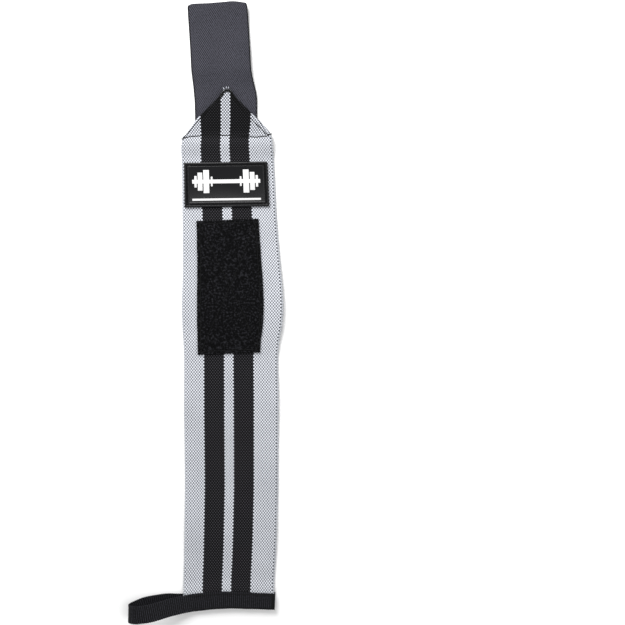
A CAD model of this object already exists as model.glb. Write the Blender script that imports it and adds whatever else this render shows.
import math

import bpy
import bmesh
import numpy as np
from bpy.props import FloatProperty, IntProperty, PointerProperty, StringProperty
from bpy.types import Operator, Panel, PropertyGroup
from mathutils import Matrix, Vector


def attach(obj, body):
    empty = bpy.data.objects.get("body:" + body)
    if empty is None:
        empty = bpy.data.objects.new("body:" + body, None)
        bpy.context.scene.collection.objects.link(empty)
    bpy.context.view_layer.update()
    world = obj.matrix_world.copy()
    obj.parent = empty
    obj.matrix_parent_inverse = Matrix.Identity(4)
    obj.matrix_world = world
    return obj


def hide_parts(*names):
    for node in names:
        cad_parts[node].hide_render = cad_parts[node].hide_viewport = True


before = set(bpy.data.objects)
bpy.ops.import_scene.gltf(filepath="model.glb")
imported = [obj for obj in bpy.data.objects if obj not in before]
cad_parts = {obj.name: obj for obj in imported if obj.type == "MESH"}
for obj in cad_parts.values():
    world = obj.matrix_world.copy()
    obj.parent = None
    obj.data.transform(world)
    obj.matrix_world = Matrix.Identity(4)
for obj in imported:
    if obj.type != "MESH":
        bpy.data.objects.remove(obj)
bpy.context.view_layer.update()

bl_info = {
    "name": "Wrist Wrap",
    "version": (1, 0, 0),
    "blender": (4, 5, 0),
    "location": "3D View > Sidebar > Wrist Wrap",
    "description": "Builds a striped wrist wrap laid flat, with its cloth, label, stitches and stage",
    "category": "Object",
}

# The wrap is drawn in millimetres, from the middle of the band's lower edge on the resting surface.
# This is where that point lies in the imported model.
MILLIMETRE = 0.001
ORIGIN = np.array((19.431, -244.424, 0.0))

# Sizes of the wrap, in millimetres
LAYER_GAP = 0.3
BAND_WIDTH = 76.5
BAND_THICKNESS = 1.8
BODY_LENGTH = 387.0
POINT_HEIGHT = 39.5
POINT_SHIFT = -2.1
POINT_LEAN = 1.2
END_INSET = 3.4
RAMP_LENGTH = 17.0
END_RAMP_LENGTH = 10.0
WAVE_HEIGHT = 3.0
TAB_WIDTH = 49.5
TAB_THICKNESS = 2.0
TAB_LENGTH = 113.5
TAB_TUCK = 2.5
TAB_CORNER = 2.2
TAB_WAVE = 3.0
HOOK_HEIGHT = 0.9
AXIS_SHIFT = -1.7
LABEL_TILT = math.radians(0.8)
PANEL_TILT = math.radians(2.2)
LABEL_WIDTH = 69.2
LABEL_HEIGHT = 36.8
LABEL_THICKNESS = 1.2
LABEL_DROP = 20.0
LABEL_CORNER = 1.0
EMBLEM_WIDTH = 56.0
EMBLEM_HEIGHT = 19.0
EMBLEM_RELIEF = 0.6
EMBLEM_LIFT = 2.6
BAR_THICKNESS = 3.2
RULE_THICKNESS = 1.7
RULE_DROP = 12.2
PANEL_WIDTH = 50.4
PANEL_LENGTH = 110.0
PANEL_THICKNESS = 2.2
PANEL_DROP = 10.5
RIBBON_WIDTH = 14.4
RIBBON_THICKNESS = 1.1
LOOP_LENGTH = 44.0
LOOP_HEIGHT = 15.8

# Weave, in millimetres: middle of each black stripe from the left edge and half its width, the strips
# that bind both edges, the column of gaps beside the right one, and how far a float bulges.
STRIPE_MIDDLES = (24.48, 48.48)
STRIPE_HALF = 7.8
BOUND_LEFT = 0.9
BOUND_RIGHT = 1.15
GAP_COLUMN = 1.55
GAP_COLUMN_HALF = 0.42
FLOAT_BULGE = 0.34
EDGE_SCALLOP = 0.16
SCALLOP_REACH = 1.2
RIBBON_WARP_PITCH = 1.2

# Edges and faces of the cloth, in millimetres: radius of each round edge, the panel's fray and its
# uneven face with their pitches, what each rib does to the ribbon's edge and face, how far the edge
# wanders, and the share and length by which the ribbon narrows towards its end.
BAND_EDGE_RADIUS = 0.9
TAB_EDGE_RADIUS = 0.6
PANEL_EDGE_RADIUS = 1.1
RIBBON_EDGE_RADIUS = 0.55
FRAY_DEPTH = 0.3
FRAY_PITCH = 2.4
PANEL_UNEVENNESS = 0.1
PANEL_UNEVENNESS_PITCH = 3
RIB_BULGE = 0.12
RIB_RELIEF = 0.045
RIBBON_WANDER = 0.15
RIBBON_WANDER_LENGTH = 3.1
RIBBON_TAPER = 0.08
RIBBON_TAPER_LENGTH = 60

# Margins of the hook field, in millimetres: at the tab's hidden end, free end, left and right edge.
HOOK_MARGINS = (4, 3, 2.6, 3)

# Raised forms on the label, in millimetres: foot above its field, rise, and bevel of their edges.
EMBLEM_FOOT = 0.02
EMBLEM_RISE = EMBLEM_RELIEF + 0.1
EMBLEM_BEVEL = 0.16

# Sewing, in millimetres: distance of each stitched line from its piece's edge, width and depth of the
# grooves that seams press, depth at which stitches lie, reach of the ribbon's seams as a share of the
# band's width, thickness of the bar tacks' thread, length and pitch of their strokes, how high each
# tack lies and how deep its strokes' ends dip, and the lift and fall of the loose thread ends.
PANEL_SEAM_INSET = 2.6
LABEL_SEAM_INSET = 2.4
RIBBON_SEAM_INSETS = (1.7, 1.9)
POINT_GROOVE_WIDTH = 0.6
PANEL_GROOVE_WIDTH = 0.9
PANEL_GROOVE_DEPTH = 0.55
PANEL_STITCH_DEPTH = 0.35
LABEL_STITCH_DEPTH = 0.18
RIBBON_SEAM_REACH = 0.47
TACK_THREAD = 0.5
END_TACKS = (((35.2, 0.6), (35.2, 12.0)), ((-36.1, -2.2), (-36.4, 11.4)))
END_TACK_STROKE = (1.7, 0.5)
TIP_TACK_STROKE = (2.6, 0.4)
END_TACK_LIFT = 0.1
TIP_TACK_LIFT = 0.25
TACK_DIP = 1.4
THREAD_END_LIFT = 0.3
THREAD_END_FALL = 2.9

# Stage: middle of the picture in millimetres, then metres: the floor, and each light's size and its
# place from that middle.
PICTURE_MIDDLE = (68.0, 243.5, 0.0)
FLOOR_REACH = 4
FLOOR_DROP = 0.0004
SENSOR_WIDTH = 36
KEY_LIGHT = (0.6, (-0.38, 0.58, 0.62))
FILL_LIGHT = (1.1, (0.75, -0.45, 1.0))

END_RAMP_START = RIBBON_WIDTH * 1.05
BAND_OVER_RIBBON = RIBBON_THICKNESS + LAYER_GAP
FLAP_LEVEL = TAB_THICKNESS + LAYER_GAP
POINT_LEVEL = FLAP_LEVEL + BAND_THICKNESS + LAYER_GAP
FRONT_RUN_LEVEL = BAND_OVER_RIBBON + BAND_THICKNESS + LAYER_GAP
POINT_TOP = POINT_LEVEL + BAND_THICKNESS
LABEL_MIDDLE = BODY_LENGTH - LABEL_DROP - LABEL_HEIGHT / 2
PANEL_MIDDLE = LABEL_MIDDLE - LABEL_HEIGHT / 2 - PANEL_DROP - PANEL_LENGTH / 2

# Sewn pieces: middle along the band, and tilt.
LABEL_PLACE = (LABEL_MIDDLE, LABEL_TILT)
PANEL_PLACE = (PANEL_MIDDLE, PANEL_TILT)

# Band's body: share of its length, left and right edge as shares of its width, and lift of its left
# edge, middle and right edge as shares of the wave height.
BAND_ROWS = (
    (0.0, -0.5, 0.475, 0, 0, 0),
    (0.055, -0.5, 0.478, 0, 0, 0),
    (0.106, -0.493, 0.493, 0.1, 0, 0.15),
    (0.157, -0.489, 0.506, 0.45, 0.2, 0.3),
    (0.208, -0.485, 0.513, 0.3, 0.12, 0.1),
    (0.26, -0.483, 0.519, 0, 0, 0),
    (0.336, -0.487, 0.521, 0, 0, 0),
    (0.438, -0.492, 0.523, 0.3, 0.1, 0.4),
    (0.527, -0.492, 0.517, 0.05, 0, 0.05),
    (0.565, -0.499, 0.531, 0.1, 0.1, 0.45),
    (0.603, -0.51, 0.563, 0.2, 0.25, 0.85),
    (0.642, -0.514, 0.575, 0.2, 0.3, 1),
    (0.68, -0.511, 0.567, 0.1, 0.2, 0.8),
    (0.731, -0.505, 0.544, 0, 0.05, 0.35),
    (0.795, -0.507, 0.517, 0.15, 0, 0.05),
    (0.845, -0.511, 0.499, 0, 0, 0),
    (0.909, -0.514, 0.484, 0, 0, 0),
    (0.973, -0.521, 0.467, 0, 0, 0),
    (1.0, -0.507, 0.458, 0, 0, 0),
)

# Folded point: share of its height, share of half the band's width, and scale and shift of the
# stripes, which fan out a little towards the tip.
POINT_ROWS = (
    (0.0, 0.965, 0.965, -1.88),
    (0.17, 0.84, 0.995, -1.62),
    (0.345, 0.697, 1.017, -1.41),
    (0.535, 0.501, 1.017, -1.41),
    (0.726, 0.309, 1.017, -1.41),
    (0.909, 0.134, 1.017, -1.41),
    (1.0, 0.078, 1.017, -1.41),
)

# Where the point's lean comes in and where it goes, as shares of its height.
LEAN_RISE = (0, 0.07)
LEAN_FALL = (0.1, 0.5)

# Rows of the body that lie close together beside the foot seam, in millimetres: first, end and step.
FINE_ROWS = (BODY_LENGTH - 3.8, BODY_LENGTH - 0.7, 0.4)

# Tab: share of its length, left and right edge as shares of its width, lift of both edges as shares
# of its wave height.
TAB_ROWS = (
    (0.0, -0.532, 0.488, 0, 0),
    (0.27, -0.541, 0.497, 0, 0),
    (0.336, -0.553, 0.488, 0, 0),
    (0.394, -0.565, 0.462, 0, 0),
    (0.453, -0.582, 0.428, 0.2, 0.35),
    (0.518, -0.597, 0.402, 0.5, 0.7),
    (0.664, -0.615, 0.382, 0.35, 0.4),
    (0.81, -0.637, 0.363, 0, 0.05),
    (0.956, -0.657, 0.34, 0.35, 0.75),
    (1.0, -0.66, 0.325, 0.5, 1),
)

# Tab's cut edge: share of its width, rise as a share of its corner radius.
TAB_EDGE_ROWS = ((-0.5, -0.8), (-0.44, -0.35), (-0.2, -0.2), (0.1, 0.25), (0.27, 0.5), (0.5, -0.1))

# Arch of the lower end: share of the band's width, rise as a share of the ribbon's width.
ARCH_ROWS = ((-0.5, -0.22), (-0.33, -0.1), (0.0, 0.015), (0.2, -0.015), (0.5, -0.08))

# Thumb loop: way out as a share of its length, sideways as a share of the ribbon's width, rise as a
# share of the loop's height.
LOOP_ROWS = (
    (0.21, 0.17, 0.52),
    (0.43, 0.02, 0.79),
    (0.65, -0.12, 0.93),
    (0.85, -0.2, 0.87),
    (0.97, -0.21, 0.65),
    (1.0, -0.19, 0.43),
    (0.96, -0.14, 0.2),
    (0.86, -0.04, 0.05),
    (0.7, 0.14, 0),
    (0.5, 0.27, 0),
    (0.3, 0.34, 0),
    (0.12, 0.34, 0),
)

# Label's relief: distance in from its outline, height above its field, in millimetres.
LABEL_RELIEF_ROWS = (
    (0.0, -1.1),
    (0.02, 0.15),
    (0.12, 0.42),
    (0.35, 0.55),
    (1.35, 0.55),
    (1.6, 0.48),
    (1.75, 0.25),
    (1.9, -0.1),
    (2.1, -0.25),
    (2.7, -0.25),
    (2.9, -0.1),
    (3.05, 0.12),
    (3.25, 0.2),
    (3.6, 0.2),
    (3.85, 0.12),
    (4.05, 0.0),
)

# Barbell: way out, width and height of each plate as shares of the emblem's size.
PLATE_ROWS = ((0.2, 0.026, 0.42), (0.25, 0.085, 1), (0.349, 0.07, 0.78), (0.433, 0.035, 0.5))

# Seams of the point, as places on it in millimetres: across its foot and along both folds.
FOOT_SEAM = (
    (-38.1, 386.1), (-32.8, 387.5), (-23.9, 388.2), (-4.5, 388.5), (6.1, 388.2), (21.8, 387.2),
    (31.6, 388.2), (33.2, 389.5),
)
LEFT_SEAM = ((-38.1, 386.1), (-23.9, 402.6), (-5.6, 421.4))
RIGHT_SEAM = ((33.2, 389.5), (30.8, 389.3), (18.2, 401.6), (1.6, 421.0))

# Each seam of the point, how deep it draws the cloth down, and how deep its stitches lie.
POINT_SEAMS = ((FOOT_SEAM, 0.55, 0.3), (LEFT_SEAM, 0.4, 0.15), (RIGHT_SEAM, 0.4, 0.15))

# Bar tack round the tip, and each loose thread end's two ends.
TIP_TACK = ((-7.2, 420.9), (-6.2, 422.8), (-4.4, 424.7), (-2.1, 425.7), (0.0, 425.2), (1.8, 423.6))
THREAD_ENDS = (
    ((-4.3, 426.4), (-5.4, 428.2)), ((-2.6, 427.0), (-2.7, 429.0)), ((-1.1, 426.8), (-0.8, 428.8)),
)


class WrapClothSettings(PropertyGroup):
    """Sizes of the threads, ribs, pile, hooks and stitches"""

    thread_pitch: FloatProperty(
        name="Thread pitch", description="Width of one warp thread of the band, as drawn",
        default=0.001088, unit="LENGTH")
    float_pitch: FloatProperty(
        name="Float pitch", description="Length of band in which a warp thread dives once",
        default=0.00272, unit="LENGTH")
    rib_pitch: FloatProperty(
        name="Rib pitch", description="Distance between the ribs of the ribbon",
        default=0.00166, unit="LENGTH")
    twill_pitch: FloatProperty(
        name="Twill pitch", description="Distance across the tab between its diagonal lines",
        default=0.00172, unit="LENGTH")
    stitch_pitch: FloatProperty(
        name="Stitch pitch", description="Distance from one stitch to the next",
        default=0.003, unit="LENGTH")
    stitch_length: FloatProperty(
        name="Stitch length", description="Length of thread that shows in one stitch",
        default=0.0029, unit="LENGTH")
    thread_thickness: FloatProperty(
        name="Thread thickness", description="Diameter of the sewing thread",
        default=0.0006, unit="LENGTH")
    pile_height: FloatProperty(
        name="Pile height", description="Height of the panel's pile loops above its cloth",
        default=0.0007, unit="LENGTH")
    pile_spacing: FloatProperty(
        name="Pile spacing", description="Distance between the panel's pile loops",
        default=0.00095, unit="LENGTH")
    hook_pitch: FloatProperty(
        name="Hook pitch", description="Distance between the hooks beneath the tab",
        default=0.0017, unit="LENGTH")
    pile_seed: IntProperty(name="Pile seed", description="Seed of the pile's pattern", default=4)


class WrapColourSettings(PropertyGroup):
    """Colours of the wrap, as sRGB hex values"""

    grey_yarn: StringProperty(name="Grey yarn", description="Floats of the grey warp", default="#D6D9E0")
    grey_gap: StringProperty(name="Grey gaps", description="Gaps between grey floats", default="#22252B")
    black_yarn: StringProperty(name="Black yarn", description="Floats of the black warp", default="#3B3A3E")
    black_gap: StringProperty(name="Black gaps", description="Gaps between black floats", default="#050506")
    tab_yarn: StringProperty(name="Tab yarn", description="Raised threads of the tab", default="#46464F")
    tab_gap: StringProperty(name="Tab gaps", description="Sunk threads of the tab", default="#131316")
    ribbon_yarn: StringProperty(name="Ribbon ribs", description="Ribs of the ribbon", default="#303036")
    ribbon_gap: StringProperty(name="Ribbon gaps", description="Between the ribs", default="#050506")
    pile_light: StringProperty(name="Pile tips", description="Tips of the pile loops", default="#28282C")
    pile_dark: StringProperty(name="Pile base", description="Base of the pile", default="#050506")
    label_black: StringProperty(name="Label black", description="Label's moulding", default="#0B0B0E")
    label_white: StringProperty(name="Label white", description="Label's emblem", default="#D8D8D8")
    thread_black: StringProperty(name="Thread", description="Sewing thread", default="#0B0B0C")
    thread_pale: StringProperty(name="Thread ends", description="Loose ends at the tip", default="#C4C6CF")


class WrapStageSettings(PropertyGroup):
    """Camera and light"""

    camera_height: FloatProperty(
        name="Camera height", description="Height of the camera above the surface",
        default=1.05, unit="LENGTH")
    picture_width: FloatProperty(
        name="Picture width", description="Width of the surface that the picture shows",
        default=0.515, unit="LENGTH")
    key_power: FloatProperty(
        name="Key light", description="Power of the soft light beyond the tab", default=11, unit="POWER")
    fill_power: FloatProperty(
        name="Fill light", description="Power of the soft light on the other side", default=7.5, unit="POWER")
    sky_strength: FloatProperty(
        name="Sky strength", description="Strength of the even light all round", default=0.38)


def linear_colour(hex_value):
    """An sRGB hex colour as linear red, green, blue and full alpha."""
    shares = [int(hex_value[k:k + 2], 16) / 255 for k in (1, 3, 5)]
    return [c / 12.92 if c <= 0.04045 else ((c + 0.055) / 1.055) ** 2.4 for c in shares] + [1.0]


def node(tree, kind, links=(), out=0, **settings):
    """Adds a node with its settings and its links, each a socket or a value, and gives one output."""
    made = tree.nodes.new(kind)
    for name, value in settings.items():
        setattr(made, name, value)
    for key, value in (links.items() if isinstance(links, dict) else enumerate(links)):
        if isinstance(value, bpy.types.NodeSocket):
            tree.links.new(value, made.inputs[key])
        elif value is not None:
            made.inputs[key].default_value = value
    return made.outputs[out] if len(made.outputs) else made


def from_rows(rows, column, at):
    """A smooth value of a table's column between its rows, which never passes the rows' own values."""
    places = np.array([row[0] for row in rows], float)
    values = np.array([row[column] for row in rows], float)
    slopes = np.diff(values) / np.diff(places)
    before, after = slopes[:-1], slopes[1:]
    same = before * after > 0
    inner = np.zeros(len(rows) - 2)
    inner[same] = 2 * before[same] * after[same] / (before[same] + after[same])
    tangents = np.concatenate(([slopes[0]], inner, [slopes[-1]]))
    at = np.clip(np.asarray(at, float), places[0], places[-1])
    k = np.clip(np.searchsorted(places, at) - 1, 0, len(rows) - 2)
    length = places[k + 1] - places[k]
    t = (at - places[k]) / length
    start = (1 + 2 * t) * (1 - t) ** 2 * values[k] + t * (1 - t) ** 2 * length * tangents[k]
    end = t * t * (3 - 2 * t) * values[k + 1] + t * t * (t - 1) * length * tangents[k + 1]
    return start + end


def smooth_step(at, low, high):
    """0 up to low, 1 from high on, and a smooth rise between them."""
    t = np.clip((np.asarray(at, float) - low) / (high - low), 0, 1)
    return t * t * (3 - 2 * t)


def underside(across, along):
    """Height of the band's underside above the resting surface."""
    up = along / BODY_LENGTH
    edge = np.where(across < 0, from_rows(BAND_ROWS, 3, up), from_rows(BAND_ROWS, 5, up))
    middle = from_rows(BAND_ROWS, 4, up)
    wave = (middle + (edge - middle) * (2 * across) ** 2) * WAVE_HEIGHT
    end_share = 1 - smooth_step(along, END_RAMP_START, END_RAMP_START + END_RAMP_LENGTH)
    ramp_end = BODY_LENGTH - TAB_TUCK
    point_share = smooth_step(along, ramp_end - RAMP_LENGTH, ramp_end)
    return wave + end_share * BAND_OVER_RIBBON + point_share * POINT_LEVEL


def on_band(side, along, height):
    """Places on the band's body: side from its nominal middle, along from its end, height above its back."""
    side, along, height = np.broadcast_arrays(*(np.asarray(v, float) for v in (side, along, height)))
    across = side / BAND_WIDTH
    up = along / BODY_LENGTH
    left = from_rows(BAND_ROWS, 1, up)
    right = from_rows(BAND_ROWS, 2, up)
    x = (left + (right - left) * (across + 0.5)) * BAND_WIDTH
    share = 1 - smooth_step(along, RIBBON_WIDTH, 3 * RIBBON_WIDTH)
    y = along + from_rows(ARCH_ROWS, 1, across) * RIBBON_WIDTH * share
    return np.stack((x, y, underside(across, along) + height), axis=-1)


def on_sewn_piece(side, along, piece_place, height):
    """Places on a piece that is sewn on the band, from that piece's own middle."""
    middle, tilt = piece_place
    side, along = np.asarray(side, float), np.asarray(along, float)
    turned = along + side * math.tan(tilt)
    return on_band(side + AXIS_SHIFT, middle + turned, BAND_THICKNESS + LAYER_GAP + np.asarray(height, float))


def seam_distance(places, seam):
    """Distance in the plan from each place to a seam's line."""
    flat = places[..., :2]
    best = np.full(flat.shape[:-1], 1e9)
    for a, b in zip(np.array(seam[:-1]), np.array(seam[1:])):
        way = b - a
        t = np.clip(((flat - a) @ way) / (way @ way), 0, 1)
        best = np.minimum(best, np.linalg.norm(flat - a - t[..., None] * way, axis=-1))
    return best


def soft_noise(a, b, seed):
    """A smooth random surface between about -1 and 1, made of a few slanted waves."""
    random = np.random.default_rng(seed)
    total = np.zeros(np.broadcast(a, b).shape)
    for _ in range(9):
        angle, phase = random.uniform(0, 2 * math.pi, 2)
        pitch = random.uniform(0.7, 1.6)
        total += np.sin((a * math.cos(angle) + b * math.sin(angle)) * 2 * math.pi / pitch + phase)
    return total / 4


def mesh_object(name, places, faces, material, flat_places=None, sharp=50):
    """An object from places in millimetres, with flat places as its UV map where it has them."""
    used = np.unique(np.concatenate([np.asarray(face).ravel() for face in faces]))
    renumber = np.full(len(places), -1)
    renumber[used] = np.arange(len(used))
    mesh = bpy.data.meshes.new(name)
    points = (np.asarray(places)[used] + ORIGIN) * MILLIMETRE
    corners = [tuple(int(renumber[k]) for k in face) for part in faces for face in part]
    mesh.from_pydata(points.tolist(), [], corners)
    if flat_places is not None:
        layer = mesh.uv_layers.new(name="Cloth")
        vertex = np.zeros(len(mesh.loops), int)
        mesh.loops.foreach_get("vertex_index", vertex)
        layer.data.foreach_set("uv", np.asarray(flat_places)[used][vertex].ravel())
    mesh.materials.append(material)
    mesh.shade_smooth()
    mesh.set_sharp_from_angle(angle=math.radians(sharp))
    mesh.validate()
    shown = bpy.data.objects.new(name, mesh)
    bpy.context.scene.collection.objects.link(shown)
    return shown


def cloth_object(name, outer, inner, flat_places, material, there=None, sharp=50):
    """A closed cloth: an outer and an inner skin on one grid, and a rim round every free edge."""
    rows, columns = outer.shape[:2]
    if there is None:
        there = np.ones((rows - 1, columns - 1), bool)
    number = np.arange(rows * columns).reshape(rows, columns)
    beneath = rows * columns
    corner = (number[:-1, :-1], number[:-1, 1:], number[1:, 1:], number[1:, :-1])
    top = np.stack(corner, axis=-1)[there]
    faces = [top, top[:, ::-1] + beneath]
    wide = np.pad(there, 1)
    sides = (
        (wide[:-2, 1:-1], corner[1], corner[0]), (wide[1:-1, 2:], corner[2], corner[1]),
        (wide[2:, 1:-1], corner[3], corner[2]), (wide[1:-1, :-2], corner[0], corner[3]),
    )
    for neighbour, start, end in sides:
        free = there & ~neighbour
        a, b = start[free], end[free]
        faces.append(np.stack((a, b, b + beneath, a + beneath), axis=-1))
    faces = [part for part in faces if len(part)]
    places = np.concatenate((outer.reshape(-1, 3), inner.reshape(-1, 3)))
    flats = np.concatenate((flat_places.reshape(-1, 2),) * 2)
    return mesh_object(name, places, faces, material, flats, sharp)


def edge_steps(width, cells, steps=(0, 0.12, 0.35, 0.65, 1.0, 1.6, 2.3, 3.0, 3.7, 4.4)):
    """Places across a cloth from 0 to its width, close together along both edges."""
    scale = min(1, width / (2.6 * steps[-1]))
    near = np.array(steps) * scale
    middle = np.linspace(near[-1], width - near[-1], cells + 1)
    return np.concatenate((near[:-1], middle, width - near[:-1][::-1]))


def edge_roundness(distance, radius):
    """Share of a cloth's thickness at a distance from its edge, so that the edge is round."""
    into = np.clip(distance / radius, 0, 1)
    return 0.12 + 0.88 * np.sqrt(1 - (1 - into) ** 2)


def finish_piece(piece, slot, *nodes):
    """Makes a piece ride on the wrap, names its finish, and lets it stand for CAD nodes."""
    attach(piece, "root")
    if nodes:
        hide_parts(*nodes)
    return piece


def new_material(name, roughness, sheen=0.0, specular=0.5):
    """A material whose even values stand on the shader's own sockets. Gives its tree and shader."""
    material = bpy.data.materials.new(name)
    material.use_nodes = True
    tree = material.node_tree
    shader = tree.nodes["Principled BSDF"]
    shader.inputs["Roughness"].default_value = roughness
    shader.inputs["Specular IOR Level"].default_value = specular
    shader.inputs["Sheen Weight"].default_value = sheen
    shader.inputs["Sheen Roughness"].default_value = 0.5
    return material, tree, shader


def cloth_place(tree):
    """A cloth's own flat place in millimetres, and its parts across and along the cloth."""
    place = node(tree, "ShaderNodeUVMap", uv_map="Cloth")
    across, along = (node(tree, "ShaderNodeSeparateXYZ", (place,), out=axis) for axis in "XY")
    return place, across, along


def wave(tree, place, rate, operation):
    """A wave, SINE or COSINE, that turns at a rate along a place."""
    angle = node(tree, "ShaderNodeMath", (place, rate), operation="MULTIPLY")
    return node(tree, "ShaderNodeMath", (angle,), operation=operation)


def varied_tone(tree, colour, place, scale, detail, low, high):
    """A colour made darker and lighter in soft places, between a low and a high share of itself."""
    tone = node(tree, "ShaderNodeTexNoise", {"Vector": place, "Scale": scale, "Detail": detail})
    tone = node(tree, "ShaderNodeMapRange", {"Value": tone, "To Min": low, "To Max": high})
    return node(tree, "ShaderNodeMix", {
        0: 1.0, 6: colour, 7: tone}, out=2, data_type="RGBA", blend_type="MULTIPLY")


def dress(tree, shader, colour, height, strength, distance):
    """Gives a shader its colour, and relief from a height: its strength, and its depth in metres."""
    tree.links.new(colour, shader.inputs["Base Color"])
    relief = node(tree, "ShaderNodeBump", {"Strength": strength, "Distance": distance, "Height": height})
    tree.links.new(relief, shader.inputs["Normal"])


def woven_elastic():
    """Polyester warp over rubber, woven as webbing: rows of short floats that lock into a diamond lattice.

    Each float is as wide as a thread and bulges over its neighbours' dives, which gives every stripe
    its toothed edge. The threads are drawn a tenth wider than they are, so that the picture shows them.
    """
    sizes = bpy.context.scene.wrap_cloth
    colours = bpy.context.scene.wrap_colours
    material, tree, shader = new_material("Woven elastic webbing", 0.85, sheen=0.02, specular=0.08)
    pitch = sizes.thread_pitch / MILLIMETRE
    dive = sizes.float_pitch / MILLIMETRE
    place, u, v = cloth_place(tree)
    turns = node(tree, "ShaderNodeMath", (v, dive), operation="DIVIDE")
    border = node(tree, "ShaderNodeMath", (u, pitch), operation="DIVIDE")
    border = node(tree, "ShaderNodeMath", (border,), operation="ROUND")

    def wave_at(thread):
        shift = node(tree, "ShaderNodeMath", (thread, 0.5, turns), operation="MULTIPLY_ADD")
        return wave(tree, shift, 2 * math.pi, "COSINE")

    wiggle = node(tree, "ShaderNodeMath", (wave_at(border), FLOAT_BULGE), operation="MULTIPLY")
    edge = node(tree, "ShaderNodeMath", (border, pitch, wiggle), operation="MULTIPLY_ADD")
    beyond = node(tree, "ShaderNodeMath", (u, edge), operation="GREATER_THAN")
    thread = node(tree, "ShaderNodeMath", (border, beyond), operation="ADD")
    thread = node(tree, "ShaderNodeMath", (thread, 1.0), operation="SUBTRACT")
    phase = wave_at(thread)
    low = node(tree, "ShaderNodeMath", (phase, FLOAT_BULGE), operation="MULTIPLY")
    low = node(tree, "ShaderNodeMath", (thread, pitch, low), operation="MULTIPLY_ADD")
    width = node(tree, "ShaderNodeMath", (phase, -2 * FLOAT_BULGE, pitch), operation="MULTIPLY_ADD")
    share = node(tree, "ShaderNodeMath", (u, low), operation="SUBTRACT")
    share = node(tree, "ShaderNodeMath", (share, width), operation="DIVIDE", use_clamp=True)
    rest = node(tree, "ShaderNodeMath", (1.0, share), operation="SUBTRACT")
    arch = node(tree, "ShaderNodeMath", (share, rest), operation="MULTIPLY")
    arch = node(tree, "ShaderNodeMath", (arch, 4.0), operation="MULTIPLY")
    arch = node(tree, "ShaderNodeMath", (arch, 0.5), operation="POWER")
    float_share = node(tree, "ShaderNodeMath", (phase, -0.5, 0.5), operation="MULTIPLY_ADD")
    float_share = node(tree, "ShaderNodeMath", (float_share, 0.7), operation="POWER")
    height = node(tree, "ShaderNodeMath", (arch, float_share), operation="MULTIPLY")

    # The outermost strip of each edge is bound closely, with one column of gaps beside it.
    far = node(tree, "ShaderNodeMath", (BAND_WIDTH, u), operation="SUBTRACT")
    bound = node(tree, "ShaderNodeMath", (far, BOUND_RIGHT), operation="LESS_THAN")
    bound_left = node(tree, "ShaderNodeMath", (u, BOUND_LEFT), operation="LESS_THAN")
    bound = node(tree, "ShaderNodeMath", (bound, bound_left), operation="MAXIMUM")
    picks = wave(tree, v, 4 * math.pi / dive, "SINE")
    picks = node(tree, "ShaderNodeMath", (picks, 0.16, 0.52), operation="MULTIPLY_ADD")
    height = node(tree, "ShaderNodeMix", {0: bound, 2: height, 3: picks})
    column = node(tree, "ShaderNodeMath", (far, GAP_COLUMN, GAP_COLUMN_HALF), operation="COMPARE")
    sunk = wave(tree, turns, 2 * math.pi, "COSINE")
    sunk = node(tree, "ShaderNodeMath", (sunk, 0.35), operation="GREATER_THAN")
    sunk = node(tree, "ShaderNodeMath", (sunk, column), operation="MULTIPLY")
    height = node(tree, "ShaderNodeMix", {0: sunk, 2: height, 3: 0.0})

    middle = node(tree, "ShaderNodeMath", (thread, 0.5), operation="ADD")
    middle = node(tree, "ShaderNodeMath", (middle, pitch), operation="MULTIPLY")
    first, second = (
        node(tree, "ShaderNodeMath", (middle, stripe, STRIPE_HALF), operation="COMPARE")
        for stripe in STRIPE_MIDDLES)
    black = node(tree, "ShaderNodeMath", (first, second), operation="MAXIMUM")

    # The point is sewn tight over its own corners, which opens the gaps between its floats.
    opened = node(tree, "ShaderNodeMapRange", {
        "Value": v, "From Min": BODY_LENGTH - 3, "From Max": BODY_LENGTH + 6, "To Min": 0.0, "To Max": -0.16})
    shown = node(tree, "ShaderNodeMath", (height, opened), operation="ADD")
    seen = node(tree, "ShaderNodeMapRange", {
        "Value": shown, "From Min": 0.18, "From Max": 0.78}, interpolation_type="SMOOTHSTEP")
    grey = node(tree, "ShaderNodeMix", {
        0: seen, 6: linear_colour(colours.grey_gap), 7: linear_colour(colours.grey_yarn),
    }, out=2, data_type="RGBA")
    crest = node(tree, "ShaderNodeMapRange", {
        "Value": shown, "From Min": 0.62, "From Max": 0.92}, interpolation_type="SMOOTHSTEP")
    dark = node(tree, "ShaderNodeMix", {
        0: crest, 6: linear_colour(colours.black_gap), 7: linear_colour(colours.black_yarn),
    }, out=2, data_type="RGBA")
    colour = node(tree, "ShaderNodeMix", {0: black, 6: grey, 7: dark}, out=2, data_type="RGBA")

    # Handling leaves soft lighter and darker places about 30 mm wide.
    colour = varied_tone(tree, colour, place, 0.035, 2.0, 0.88, 1.1)
    dress(tree, shader, colour, height, 0.75, 0.0003)
    return material


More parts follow.
